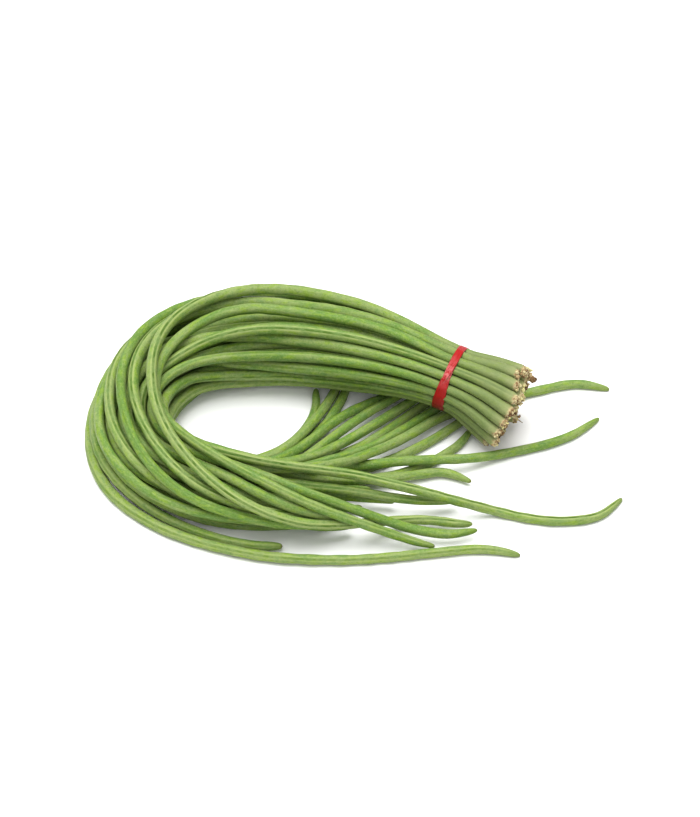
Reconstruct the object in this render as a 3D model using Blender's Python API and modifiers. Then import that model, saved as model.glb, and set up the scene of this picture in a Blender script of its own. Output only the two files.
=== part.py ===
"""Yardlong bean bunch: 33 long pods tied near their stem ends and folded round into an open loop.

The bunch lies on the plane z = 0. The loop's long side runs along X, and the stem ends point to +X.
Every pod is one solid, and so is the tie band. Sizes are in metres.
"""
import math

import bmesh
import bpy
import numpy as np
from mathutils import Vector

# Pod sizes
MM = 0.001
POD_RADIUS = 0.0038
POD_RADIUS_SPREAD = 0.00030
TIED_RADIUS = 0.00310
STEM_RADIUS = 0.0041
TIP_RADIUS = 0.0032
GROWTH_LENGTH = 0.090
THINNING_LENGTH = 0.280
POD_SIDES = 6
POD_POINTS = 28
FLAT_SIDE = math.cos(math.pi / POD_SIDES)

# Distance from a pod's end against the share of the pod's radius there
STEM_END_PROFILE = ((0.0, 0.30), (0.0016, 0.66), (0.0040, 0.50), (0.0085, 0.92))
TIP_PROFILE = ((0.0, 0.13), (0.0013, 0.45), (0.0042, 0.76), (0.0100, 0.95))

# Tie band and the bundle that it holds
TIE_CENTRE = np.array((0.066, 0.033, 0.035))
TIE_AXIS = np.array((0.915, -0.375, -0.150)) / np.linalg.norm((0.915, -0.375, -0.150))
TIE_PITCH = 0.0066
TIE_RINGS = 3
BAND_WIDTH = 0.0072
BAND_THICKNESS = 0.0012
BAND_CLEARANCE = 0.0004
BAND_STEPS = 36
STEM_LENGTH = 0.050
STEM_SHORTEST = 0.84
STEM_UNEVEN = 0.30
STEM_TOP_LONGER = 0.006
STEM_SPREAD = 1.42
STEM_MIDDLE_SPREAD = 1.126
STEM_DROP = np.array((0.0, -0.0045, -0.0045))
GRIP_LENGTH = 0.012
HELD_LENGTH = 0.030

# The bundle's section opens from the tied round to a low heap along the upper leg
LEG_STATIONS = (
    ((0.020, 0.064, 0.0292), 0.0315, 0.0245),
    ((-0.034, 0.084, 0.0250), 0.0380, 0.0215),
    ((-0.076, 0.085, 0.0240), 0.0405, 0.0205),
)
LEG_ACROSS = (np.array((-0.50, -0.866, 0.0)), np.array((-0.38, -0.925, 0.0)), np.array((-0.05, -1.0, 0.0)))
OPEN_STATIONS = 2

# The bend at the left, an arc of lanes round one centre, narrow at its far left and wide beside the legs
BEND_CENTRE = np.array((-0.066, 0.008))
BEND_INNER = np.array((0.0600, 0.0525))
BEND_LANES = np.array((0.88, 1.30))
INNER_LANE = 0.054
BEND_TURNS = (130.0, 152.0, 177.0, 207.0)

# Sight grid: a route point is a column and a row seen from above the near side, and a height in mm
GRID_STEP = 0.00067
GRID_MIDDLE = (352.0, 450.0)
SIGHT_ELEVATION = math.radians(42.0)

# Settling of the pods against each other
GAP = 0.00034
SPAN_SAMPLES = 12
OWN_NEIGHBOURS = 4
LEAST_WEIGHT = 0.6
TRACED_SIGHTS = 3
SETTLE_STEPS = 420
FREE_STEPS = 900
NEAR_REFRESH = 12
NEAR_MARGIN = 0.006
SIGHT_PULL = 0.08
LATE_PULL = 0.016
LATE_SHARE = 0.5
WEIGHT_STEP = 0.00002
TIE_PULL = 0.10
HIDDEN_SHARE = 0.2
BEND_SMOOTHING = 0.30
LATE_SMOOTHING = 0.03
STIFFNESS = 0.45
KINK_WEIGHTS = 16.0
SPACING_PULL = 0.25
SHORT_ENOUGH = 0.10

# Pods: slot at the tie (ring, degrees), lane radius and height in the bend (mm) or None where the
# route is followed there, and the route's points from the bend to the tip (column, row, height)
PODS = (
    ((3, 122), None, (
        (240, 295, 38), (210, 303, 40), (180, 315, 42), (163, 335, 43), (156, 368, 43), (163, 410, 43),
        (184, 446, 41), (214, 476, 36), (250, 501, 30), (288, 517, 21), (325, 521, 12), (360, 519, 5),
        (395, 517, 3), (430, 518, 3), (467, 525, 3))),
    ((3, 142), None, (
        (240, 297, 34), (200, 301, 35), (170, 309, 36), (143, 331, 36), (126, 362, 35), (125, 398, 35),
        (140, 440, 32), (165, 475, 27), (200, 500, 21), (240, 511, 15), (285, 518, 10), (330, 519, 5))),
    ((3, 102), None, (
        (240, 299, 41), (200, 309, 40), (166, 322, 37), (146, 343, 37), (135, 378, 38), (143, 412, 38),
        (168, 456, 34), (212, 491, 27), (250, 506, 23), (300, 516, 14), (340, 518, 6))),
    ((3, 82), None, (
        (240, 308, 42), (205, 323, 39), (176, 345, 35), (158, 378, 33), (160, 405, 33), (176, 430, 33),
        (195, 443, 33), (220, 460, 32), (255, 474, 30), (300, 499, 28), (345, 517, 22), (390, 531, 12),
        (431, 549, 3))),
    ((3, 62), (66, 28), (
        (222, 466, 27), (260, 491, 24), (315, 514, 15), (350, 516, 6))),
    ((3, 42), (75, 26), (
        (240, 488, 22), (300, 512, 12), (342, 517, 5))),
    ((3, 22), (62, 24), (
        (255, 468, 26), (290, 484, 23), (330, 497, 21), (370, 510, 16), (400, 521, 12), (430, 530, 6),
        (473, 528, 3))),
    ((3, 2), (70, 21), (
        (250, 474, 19), (290, 481, 17), (330, 486, 14), (370, 489, 11), (410, 498, 7), (456, 498, 3))),
    ((3, -18), (57, 24), (
        (250, 466, 25), (290, 467, 23), (330, 470, 21), (370, 476, 18), (410, 486, 14), (450, 497, 10),
        (490, 508, 5), (550, 518, 3), (585, 517, 3), (616, 499, 3))),
    ((3, -38), (56, 17), (
        (250, 470, 18), (300, 476, 16), (345, 478, 10), (390, 481, 6), (435, 473, 3), (467, 477, 3))),
    ((3, 162), None, (
        (205, 312, 24), (160, 325, 26), (124, 349, 27), (113, 380, 27), (114, 412, 27), (130, 450, 26),
        (165, 482, 20), (215, 507, 13), (265, 518, 9), (325, 521, 5))),
    ((3, 182), None, (
        (200, 320, 16), (150, 336, 18), (118, 362, 19), (104, 400, 20), (112, 447, 19), (142, 482, 17),
        (185, 507, 15), (235, 515, 13), (275, 516, 11), (320, 519, 8), (352, 523, 3))),
    ((3, 202), None, (
        (190, 330, 3), (140, 350, 3), (105, 390, 3), (94, 432, 3), (102, 466, 3), (122, 495, 3),
        (150, 516, 3), (190, 534, 3), (240, 548, 3), (330, 557, 3), (400, 555, 3), (450, 549, 3),
        (490, 546, 3), (515, 550, 3))),
    ((3, 222), None, (
        (195, 327, 10), (145, 345, 11), (110, 378, 12), (97, 425, 11), (107, 463, 10), (132, 492, 7),
        (165, 515, 5), (205, 530, 3), (245, 540, 3), (284, 545, 3))),
    ((3, 242), (99, 11), ((205, 519, 6), (245, 525, 3), (290, 524, 3), (338, 518, 3))),
    ((3, 262), (86, 4), ((300, 470, 3), (360, 468, 3), (410, 454, 3), (440, 435, 3), (478, 410, 3))),
    ((3, 282), (70, 4), (
        (262, 472, 5), (300, 460, 6), (332, 437, 3), (360, 416, 3), (412, 391, 3))),
    ((3, 302), (57, 10), (
        (224, 469, 12), (262, 465, 8), (294, 444, 3), (316, 419, 3), (331, 399, 3), (341, 374, 3))),
    ((2, 0), (61, 17), (
        (255, 471, 16), (315, 456, 10), (357, 436, 3), (400, 408, 3), (438, 384, 3))),
    ((2, 40), (64, 20), (
        (255, 468, 19), (340, 468, 10), (380, 455, 6), (415, 436, 3), (440, 415, 3), (480, 408, 3),
        (524, 407, 3), (571, 391, 3), (608, 390, 3))),
    ((2, 80), (74, 17), ((270, 484, 13), (345, 493, 6), (394, 497, 3))),
    ((2, 120), (82, 20), ((270, 498, 11), (330, 506, 6), (372, 508, 3))),
    ((2, 160), (90, 11), ((255, 512, 3), (310, 507, 3), (346, 505, 3))),
    ((2, 200), (94, 4), ((230, 510, 3), (285, 505, 3), (330, 500, 3))),
    ((2, 240), (78, 4), (
        (285, 468, 6), (340, 463, 5), (385, 457, 7), (415, 456, 11), (450, 458, 11), (490, 457, 3),
        (520, 450, 3), (560, 439, 3), (597, 420, 3))),
    ((2, 280), (54, 4), ((212, 464, 3), (254, 467, 3), (290, 447, 3), (314, 416, 3), (313, 393, 3))),
    ((2, 320), (66, 10), (
        (250, 471, 11), (285, 461, 10), (315, 440, 6), (338, 414, 3), (383, 399, 3), (424, 382, 3))),
    ((1, 0), (70, 19), (
        (260, 469, 14), (345, 462, 8), (385, 443, 3), (415, 425, 3), (445, 404, 3), (478, 388, 3))),
    ((1, 72), (80, 25), ((270, 496, 17), (325, 509, 10), (352, 511, 5))),
    ((1, 144), (82, 11), (
        (270, 484, 3), (330, 478, 3), (385, 479, 3), (420, 470, 3), (452, 450, 3), (474, 431, 3))),
    ((1, 216), (74, 11), (
        (270, 466, 3), (340, 456, 6), (380, 435, 3), (422, 405, 3), (456, 383, 3))),
    ((1, 288), (62, 4), (
        (246, 470, 3), (280, 458, 5), (314, 434, 3), (336, 406, 3), (350, 376, 3))),
    ((0, 0), (78, 18), ((265, 490, 8), (320, 489, 3), (376, 492, 3))),
)

# Surfaces
POD_GREEN = (0.150, 0.300, 0.055)
POD_GREEN_SHIFT = (0.060, 0.050, 0.020)
POD_ROUGHNESS = 0.5
BAND_RED = (0.48, 0.012, 0.024)
BAND_ROUGHNESS = 0.35
WELD_DISTANCE = 0.00001
BAND_WELD_DISTANCE = 0.0001


def clear_scene():
    """Start from an empty scene."""
    for item in list(bpy.data.objects):
        bpy.data.objects.remove(item, do_unlink=True)


def make_collection(name):
    """Add a collection to the scene."""
    collection = bpy.data.collections.new(name)
    bpy.context.scene.collection.children.link(collection)
    return collection


def make_material(name, colour, roughness):
    """A plain Principled material."""
    material = bpy.data.materials.new(name)
    material.use_nodes = True
    shader = material.node_tree.nodes["Principled BSDF"]
    shader.inputs["Base Color"].default_value = (*colour, 1.0)
    shader.inputs["Roughness"].default_value = roughness
    shader.inputs["Metallic"].default_value = 0.0
    return material


def tie_frame():
    """The two directions across the tie: towards the near side, and up."""
    near = np.cross(np.array((0.0, 0.0, 1.0)), TIE_AXIS)
    near = -near / np.linalg.norm(near)
    up = np.cross(TIE_AXIS, -near)
    return near, up / np.linalg.norm(up)


def slot_shares(slot):
    """A slot's place across the bundle, as shares of the bundle's half width and half height."""
    ring, degrees = slot
    share = ring / TIE_RINGS
    return share * math.cos(math.radians(degrees)), share * math.sin(math.radians(degrees))


def tied_point(slot, along, spread):
    """A point on a pod near the tie, at a distance along the tie's axis."""
    near, up = tie_frame()
    reach = TIE_PITCH * TIE_RINGS * spread
    across, height = slot_shares(slot)
    drop = STEM_DROP * max(along / STEM_LENGTH, 0.0) ** 2
    return TIE_CENTRE + along * TIE_AXIS + reach * (across * near + height * up) + drop


def stem_end(slot):
    """The distance of a pod's stem end from the tie, uneven from pod to pod."""
    ring, degrees = slot
    uneven = 0.5 + 0.5 * math.sin(2.3 * ring + 2.0 * math.radians(degrees))
    return STEM_LENGTH * (STEM_SHORTEST + STEM_UNEVEN * uneven) + STEM_TOP_LONGER * slot_shares(slot)[1]


def leg_points(slot, stations):
    """Points along the upper leg, where the round bundle opens to a heap."""
    across, height = slot_shares(slot)
    points = []
    for (centre, half_width, half_height), sideways in zip(LEG_STATIONS[:stations], LEG_ACROSS):
        point = np.array(centre) + half_width * across * sideways
        point[2] += half_height * height
        points.append(point)
    return points


def bend_points(radius_mm, height_mm):
    """Points round the bend, at one lane radius and one height."""
    points = []
    for degrees in BEND_TURNS:
        turn = math.radians(degrees)
        reach = BEND_INNER + BEND_LANES * (radius_mm * MM - INNER_LANE)
        plan = BEND_CENTRE + reach * np.array((math.cos(turn), math.sin(turn)))
        points.append(np.array((plan[0], plan[1], height_mm * MM)))
    return points


def sight_point(column, row, height_mm):
    """The place of a route point that is seen at a column and row, at a height."""
    height = height_mm * MM
    x = (column - GRID_MIDDLE[0]) * GRID_STEP
    rise = (GRID_MIDDLE[1] - row) * GRID_STEP
    y = (rise - height * math.cos(SIGHT_ELEVATION)) / math.sin(SIGHT_ELEVATION)
    return np.array((x, y, height))


def route_points(pod):
    """All route points of a pod from its stem end to its tip."""
    slot, lane, sights = pod
    points = [tied_point(slot, stem_end(slot), STEM_SPREAD)]
    points.append(tied_point(slot, 0.5 * stem_end(slot), STEM_MIDDLE_SPREAD))
    points.append(tied_point(slot, GRIP_LENGTH, 1.0))
    points.append(tied_point(slot, -GRIP_LENGTH, 1.0))
    points.extend(leg_points(slot, OPEN_STATIONS if lane is None else len(LEG_STATIONS)))
    if lane is not None:
        points.extend(bend_points(*lane))
    points.extend(sight_point(*sight) for sight in sights)
    return np.array(points)


def smooth_line(points):
    """A centripetal Catmull-Rom curve through the route points, finely sampled."""
    before = 2.0 * points[0] - points[1]
    after = 2.0 * points[-1] - points[-2]
    knots = np.vstack((before, points, after))
    fine = [points[0]]
    for index in range(len(points) - 1):
        quad = knots[index:index + 4]
        steps = np.sqrt(np.linalg.norm(np.diff(quad, axis=0), axis=1)).clip(1e-4)
        t0, t1, t2, t3 = 0.0, steps[0], steps[0] + steps[1], steps.sum()
        for t in np.linspace(t1, t2, SPAN_SAMPLES + 1)[1:]:
            a1 = (t1 - t) / (t1 - t0) * quad[0] + (t - t0) / (t1 - t0) * quad[1]
            a2 = (t2 - t) / (t2 - t1) * quad[1] + (t - t1) / (t2 - t1) * quad[2]
            a3 = (t3 - t) / (t3 - t2) * quad[2] + (t - t2) / (t3 - t2) * quad[3]
            b1 = (t2 - t) / (t2 - t0) * a1 + (t - t0) / (t2 - t0) * a2
            b2 = (t3 - t) / (t3 - t1) * a2 + (t - t1) / (t3 - t1) * a3
            fine.append((t2 - t) / (t2 - t1) * b1 + (t - t1) / (t2 - t1) * b2)
    return np.array(fine)


def along_line(line):
    """Distance along a line at each of its points."""
    steps = np.linalg.norm(np.diff(line, axis=0), axis=1)
    return np.concatenate(((0.0,), np.cumsum(steps)))


def even_points(line, count):
    """Points spaced evenly along a line."""
    distance = along_line(line)
    wanted = np.linspace(0.0, distance[-1], count)
    return np.stack([np.interp(wanted, distance, line[:, axis]) for axis in range(3)], axis=1)


def pod_radii(number, line, slot):
    """Radius at each point of a pod: slim at the tie, full at mid length, slimmer at the tip."""
    full = POD_RADIUS + POD_RADIUS_SPREAD * math.sin(2.4 * number + 0.7)
    distance = along_line(line)
    from_tie = distance - stem_end(slot) - GRIP_LENGTH
    from_tip = distance[-1] - distance
    growth = np.clip(from_tie / GROWTH_LENGTH, 0.0, 1.0)
    growth = growth * growth * (3.0 - 2.0 * growth)
    body = TIED_RADIUS + (full - TIED_RADIUS) * growth
    from_grip = np.clip(1.0 - distance / stem_end(slot), 0.0, 1.0)
    body += (STEM_RADIUS - TIED_RADIUS) * from_grip
    fade = np.clip(from_tip / THINNING_LENGTH, 0.0, 1.0)
    return np.minimum(body, TIP_RADIUS + (full - TIP_RADIUS) * fade)


class Heap:
    """All pods as chains of points, moved apart until none touches another."""

    def __init__(self, chains, radii, held, sighted):
        self.count = len(chains)
        self.points = np.concatenate(chains)
        self.start = self.points.copy()
        self.radii = np.concatenate(radii)
        self.held = np.concatenate(held)
        self.free = 1.0 - self.held
        self.sighted = np.concatenate(sighted)
        first = np.arange(self.count * POD_POINTS).reshape(self.count, POD_POINTS)[:, :-1].ravel()
        self.first = first
        self.low = self.radii * FLAT_SIDE

    def near_pairs(self):
        """Pairs of segments that may touch within the next steps."""
        a = self.points[self.first]
        b = self.points[self.first + 1]
        middle = 0.5 * (a + b)
        half = 0.5 * np.linalg.norm(b - a, axis=1)
        reach = half + self.radii[self.first] + 0.5 * NEAR_MARGIN
        rows, columns = np.triu_indices(len(middle), 1)
        apart = np.linalg.norm(middle[rows] - middle[columns], axis=1)
        near = apart < reach[rows] + reach[columns]
        same = self.first[rows] // POD_POINTS == self.first[columns] // POD_POINTS
        near &= ~(same & (columns - rows < OWN_NEIGHBOURS))
        return self.first[rows[near]], self.first[columns[near]]

    def overlaps(self, one, two):
        """Closest points of segment pairs, and how far each pair is short of its clearance."""
        p = self.points[one]
        q = self.points[two]
        u = self.points[one + 1] - p
        v = self.points[two + 1] - q
        w = p - q
        uu = (u * u).sum(axis=1)
        uv = (u * v).sum(axis=1)
        vv = (v * v).sum(axis=1)
        uw = (u * w).sum(axis=1)
        vw = (v * w).sum(axis=1)
        span = np.maximum(uu * vv - uv * uv, 1e-16)
        s = np.clip((uv * vw - vv * uw) / span, 0.0, 1.0)
        t = np.clip((uv * s + vw) / vv, 0.0, 1.0)
        s = np.clip((uv * t - uw) / uu, 0.0, 1.0)
        between = w + u * s[:, None] - v * t[:, None]
        apart = np.sqrt((between * between).sum(axis=1)).clip(1e-9)
        radius_one = self.radii[one] * (1 - s) + self.radii[one + 1] * s
        radius_two = self.radii[two] * (1 - t) + self.radii[two + 1] * t
        short = radius_one + radius_two + GAP - apart
        return s, t, between / apart[:, None], short

    def push_apart(self, one, two):
        """Move segments that are too close away from each other."""
        s, t, direction, short = self.overlaps(one, two)
        hit = short > 0.0
        one, two = one[hit], two[hit]
        s, t = s[hit], t[hit]
        push = direction[hit] * (short[hit] * 0.5)[:, None]
        total = len(self.points)
        moves = np.zeros((total, 3))
        weight = np.zeros(total)
        ends = ((one, 1 - s, 1.0), (one + 1, s, 1.0), (two, 1 - t, -1.0), (two + 1, t, -1.0))
        for index, part, sign in ends:
            for axis in range(3):
                moves[:, axis] += np.bincount(index, part * push[:, axis] * sign, total)
            weight += np.bincount(index, part * part, total)
        self.points += moves / np.maximum(weight, LEAST_WEIGHT)[:, None]
        return short.max() if len(short) else -1.0

    def shape(self, values):
        """The values as one block for each pod."""
        return values.reshape(self.count, POD_POINTS, -1)

    def smooth(self, share):
        """Even out each pod's departure from its route, and the spacing of its points."""
        departure = self.shape(self.points - self.start)
        mean = departure.copy()
        mean[:, 1:-1] = 0.5 * (departure[:, :-2] + departure[:, 2:])
        mean[:, -1] = departure[:, -2]
        step = share * (mean - departure).reshape(-1, 3)
        self.points += self.free[:, None] * step

    def straighten(self, share):
        """Take short kinks out of the pods, and leave their long bends."""
        block = self.shape(self.points)
        kink = np.zeros_like(block)
        near = block[:, 1:-3] + block[:, 3:-1]
        far = block[:, :-4] + block[:, 4:]
        kink[:, 2:-2] = far - 4.0 * near + 6.0 * block[:, 2:-2]
        self.points -= share / KINK_WEIGHTS * self.free[:, None] * kink.reshape(-1, 3)

    def keep_spacing(self, share):
        """Keep each segment near its first length, so no pod stretches or bunches up."""
        block = self.shape(self.points)
        first = self.shape(self.start)
        length = np.linalg.norm(first[:, 1:] - first[:, :-1], axis=2)
        step = block[:, 1:] - block[:, :-1]
        now = np.linalg.norm(step, axis=2)
        pull = share * (now - length)[..., None] * step / now[..., None]
        moves = np.zeros_like(block)
        moves[:, :-1] += pull
        moves[:, 1:] -= pull
        self.points += self.free[:, None] * moves.reshape(-1, 3)

    def hold_sight(self, pull):
        """Draw the followed stretches back to the line of sight of their route."""
        rise = np.array((0.0, math.sin(SIGHT_ELEVATION), math.cos(SIGHT_ELEVATION)))
        off = self.start - self.points
        sideways = off[:, 0] * pull * self.sighted * self.free
        upward = (off @ rise) * pull * self.sighted * self.free
        self.points[:, 0] += sideways
        self.points += upward[:, None] * rise

    def hold_tie(self, pull):
        """Keep the pods inside the band, at both of its rims, and near their slots."""
        reach = TIE_PITCH * TIE_RINGS + TIED_RADIUS
        for rim in (-0.5 * BAND_WIDTH, 0.5 * BAND_WIDTH):
            along = (self.points - TIE_CENTRE) @ TIE_AXIS - rim
            crossing = self.first[(along[self.first] > 0.0) & (along[self.first + 1] <= 0.0)]
            crossing = crossing[self.held[crossing] + self.held[crossing + 1] > 0.0]
            share = along[crossing] / (along[crossing] - along[crossing + 1])
            step = self.points[crossing + 1] - self.points[crossing]
            radial = self.points[crossing] + share[:, None] * step - TIE_CENTRE - rim * TIE_AXIS
            out = np.sqrt((radial * radial).sum(axis=1))
            thick = self.radii[crossing] * (1 - share) + self.radii[crossing + 1] * share
            excess = np.maximum(out + thick - reach, 0.0) / out
            self.points[crossing] -= excess[:, None] * radial
            self.points[crossing + 1] -= excess[:, None] * radial
        self.points += pull * self.held[:, None] * (self.start - self.points)

    def settle(self, step):
        """Let the pods sink a little, and keep them above the surface."""
        self.points[:, 2] -= step * self.free
        self.points[:, 2] = np.maximum(self.points[:, 2], self.low)

    def run(self):
        """Settle the heap, then only part what still touches."""
        for step in range(SETTLE_STEPS + FREE_STEPS):
            if step % NEAR_REFRESH == 0:
                one, two = self.near_pairs()
            loose = step < SETTLE_STEPS
            left = max(1.0 - (step - SETTLE_STEPS) / (LATE_SHARE * FREE_STEPS), 0.0)
            self.hold_sight(SIGHT_PULL if loose else LATE_PULL * left)
            self.smooth(BEND_SMOOTHING if loose else LATE_SMOOTHING * left)
            self.straighten(STIFFNESS if loose else STIFFNESS * left)
            self.keep_spacing(SPACING_PULL if loose else SPACING_PULL * left)
            self.settle(WEIGHT_STEP if loose else 0.0)
            self.hold_tie(TIE_PULL if loose else 0.0)
            worst = self.push_apart(one, two)
            self.points[:, 2] = np.maximum(self.points[:, 2], self.low)
            if left == 0.0 and worst < SHORT_ENOUGH * GAP:
                break
        one, two = self.near_pairs()
        short = self.overlaps(one, two)[3].max()
        print("pods short of their clearance by", short / MM, "mm after", step, "steps")


def build_heap():
    """Lay out every pod's route and part them."""
    chains, radii, held, sighted = [], [], [], []
    for number, pod in enumerate(PODS, start=1):
        slot, lane, sights = pod
        chain = even_points(smooth_line(route_points(pod)), POD_POINTS)
        chain[:, 2] = np.maximum(chain[:, 2], POD_RADIUS * FLAT_SIDE)
        seen_from = sight_point(*sights[0])
        past = np.arange(POD_POINTS) >= np.linalg.norm(chain - seen_from, axis=1).argmin()
        near_tie = np.linalg.norm(chain - TIE_CENTRE - 0.5 * STEM_LENGTH * TIE_AXIS, axis=1)
        held_here = (near_tie < 0.5 * STEM_LENGTH + HELD_LENGTH) & (np.arange(POD_POINTS) < POD_POINTS // 3)
        chains.append(chain)
        radii.append(pod_radii(number, chain, slot))
        held.append(held_here.astype(float))
        sighted.append(past * (1.0 if lane is None or len(sights) > TRACED_SIGHTS else HIDDEN_SHARE))
    heap = Heap(chains, radii, held, sighted)
    heap.run()
    return heap


def profile_points(chain, radii):
    """Centre points and radii of a pod's rings, with its stem end and tip profiles."""
    distance = along_line(chain)
    total = distance[-1]
    places = [offset for offset, share in STEM_END_PROFILE]
    shares = [share for offset, share in STEM_END_PROFILE]
    places.extend(distance[1:-1])
    shares.extend([1.0] * (len(chain) - 2))
    places.extend(total - offset for offset, share in reversed(TIP_PROFILE))
    shares.extend(share for offset, share in reversed(TIP_PROFILE))
    centres = np.stack([np.interp(places, distance, chain[:, axis]) for axis in range(3)], axis=1)
    return centres, np.interp(places, distance, radii) * np.array(shares)


def make_pod(number, chain, radii, collection):
    """One pod as a tube of varying thickness, with a flat side down."""
    name = f"pod_{number:02d}"
    centres, sizes = profile_points(chain, radii)
    curve = bpy.data.curves.new(name, "CURVE")
    curve.dimensions = "3D"
    curve.twist_mode = "Z_UP"
    curve.bevel_depth = POD_RADIUS
    curve.bevel_resolution = POD_SIDES // 2 - 2
    curve.use_fill_caps = True
    spline = curve.splines.new("POLY")
    spline.points.add(len(centres) - 1)
    for point, centre, size in zip(spline.points, centres, sizes):
        point.co = (*centre, 1.0)
        point.radius = size / POD_RADIUS
    guide = bpy.data.objects.new(name + "_guide", curve)
    collection.objects.link(guide)
    bpy.context.view_layer.update()
    evaluated = guide.evaluated_get(bpy.context.evaluated_depsgraph_get())
    mesh = bpy.data.meshes.new_from_object(evaluated)
    mesh.name = name
    shell = bmesh.new()
    shell.from_mesh(mesh)
    bmesh.ops.remove_doubles(shell, verts=shell.verts, dist=WELD_DISTANCE)
    shell.to_mesh(mesh)
    shell.free()
    pod = bpy.data.objects.new(name, mesh)
    collection.objects.link(pod)
    bpy.data.objects.remove(guide, do_unlink=True)
    mesh.materials.clear()
    tone = math.sin(1.7 * number)
    colour = tuple(base + shift * tone for base, shift in zip(POD_GREEN, POD_GREEN_SHIFT))
    mesh.materials.append(make_material(name, colour, POD_ROUGHNESS))
    return pod


def make_band(collection):
    """The tie band, a flat profile turned about the bundle's axis."""
    inner = TIE_PITCH * TIE_RINGS + TIED_RADIUS + BAND_CLEARANCE
    outer = inner + BAND_THICKNESS
    half = 0.5 * BAND_WIDTH
    profile = bmesh.new()
    corners = [profile.verts.new((radius, 0.0, along)) for radius, along in
               ((outer, -half), (outer, half), (inner, half), (inner, -half))]
    for index, corner in enumerate(corners):
        profile.edges.new((corner, corners[(index + 1) % len(corners)]))
    mesh = bpy.data.meshes.new("tie_band")
    profile.to_mesh(mesh)
    profile.free()
    band = bpy.data.objects.new("tie_band", mesh)
    collection.objects.link(band)
    screw = band.modifiers.new("turn", "SCREW")
    screw.axis = "Z"
    screw.steps = BAND_STEPS
    screw.render_steps = BAND_STEPS
    screw.use_merge_vertices = True
    screw.merge_threshold = BAND_WELD_DISTANCE
    screw.use_normal_flip = True
    band.rotation_mode = "QUATERNION"
    band.rotation_quaternion = Vector(TIE_AXIS).to_track_quat("Z", "Y")
    band.location = Vector(TIE_CENTRE)
    mesh.materials.append(make_material("tie_band", BAND_RED, BAND_ROUGHNESS))
    return band


def centre_on_origin(objects):
    """Put the bunch's box over the origin, with its lowest point on z = 0."""
    bpy.context.view_layer.update()
    corners = []
    for item in objects:
        corners.extend(item.matrix_world @ Vector(corner) for corner in item.bound_box)
    low = Vector([min(corner[axis] for corner in corners) for axis in range(3)])
    high = Vector([max(corner[axis] for corner in corners) for axis in range(3)])
    shift = Vector((0.5 * (low.x + high.x), 0.5 * (low.y + high.y), low.z))
    for item in objects:
        item.location -= shift


def main():
    clear_scene()
    collection = make_collection("yardlong_bean_bunch")
    heap = build_heap()
    points = heap.shape(heap.points)
    radii = heap.radii.reshape(heap.count, POD_POINTS)
    objects = []
    for index in range(heap.count):
        objects.append(make_pod(index + 1, points[index], radii[index], collection))
    objects.append(make_band(collection))
    centre_on_origin(objects)


main()
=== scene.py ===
"""Looks of the yardlong bean bunch: fine pods with seams, seeds and corky stem ends, and a wound red band."""
import math

import bmesh
import bpy
import numpy as np
from mathutils import Matrix, Vector, noise


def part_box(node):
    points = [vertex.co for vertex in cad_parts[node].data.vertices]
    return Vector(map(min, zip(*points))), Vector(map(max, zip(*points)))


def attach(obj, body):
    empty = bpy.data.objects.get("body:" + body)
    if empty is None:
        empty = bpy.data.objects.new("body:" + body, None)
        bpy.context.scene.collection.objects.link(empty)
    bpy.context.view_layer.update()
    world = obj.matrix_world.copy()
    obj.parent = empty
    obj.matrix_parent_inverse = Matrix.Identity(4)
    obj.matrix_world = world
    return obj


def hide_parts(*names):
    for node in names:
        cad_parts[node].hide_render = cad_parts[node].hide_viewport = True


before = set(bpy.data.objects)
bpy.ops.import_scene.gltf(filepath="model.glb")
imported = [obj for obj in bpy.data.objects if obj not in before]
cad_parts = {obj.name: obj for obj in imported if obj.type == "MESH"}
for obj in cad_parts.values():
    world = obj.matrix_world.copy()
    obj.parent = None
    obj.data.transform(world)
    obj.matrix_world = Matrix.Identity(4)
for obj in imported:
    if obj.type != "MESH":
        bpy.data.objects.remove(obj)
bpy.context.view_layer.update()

# Camera: the photograph's frame, seen from above the near side through a long lens
FRAME_HEIGHT = 817
PIXEL = 0.00067
VIEW_ELEVATION = math.radians(42.0)
VIEW_DISTANCE = 4.0
FRAME_MIDDLE = (350.0, 408.5)
GRID_MIDDLE = (352.0, 450.0)
TIE_PLACE = np.array((0.066, 0.033, 0.035))
TIE_AXIS = np.array((0.915, -0.375, -0.150)) / np.linalg.norm((0.915, -0.375, -0.150))
SENSOR_WIDTH = 36.0
NEAREST = 0.05
FARTHEST = 20.0

# Light
SKY_STRENGTH = 0.39
KEY_TOWARDS = (-0.13, 0.15, 1.0)
KEY_WIDTH = math.radians(62.0)
KEY_POWER = 4.15
FILL_TOWARDS = (0.15, -0.9, 1.0)
FILL_WIDTH = math.radians(70.0)
FILL_POWER = 1.15
FLOOR_HALF = 6.0
FLOOR_WHITE = (0.93, 0.93, 0.93, 1.0)

# Pods: the solid's tube that a skin follows, and the skin's own rings
SOLID_SIDES = 6
SAME_PLANE = 0.99999
WELD = 0.00001
CAP_REACH = 0.0015
CAP_BULGE = 0.0004
SIDES = 24
TURNS = np.arange(SIDES) * 2.0 * math.pi / SIDES
RING_STEP = 0.0022
END_RINGS = 4
END_STEPS = (0.0003, 0.0004, 0.0005, 0.0006, 0.0007, 0.0009, 0.0011, 0.0014, 0.0017)
CURVE_SPLITS = 12
KNOT_GAP = 0.0001
SKIN_SHARE = 0.985
LOWEST = 0.00005
TURN_STEP = 2.4

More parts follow.
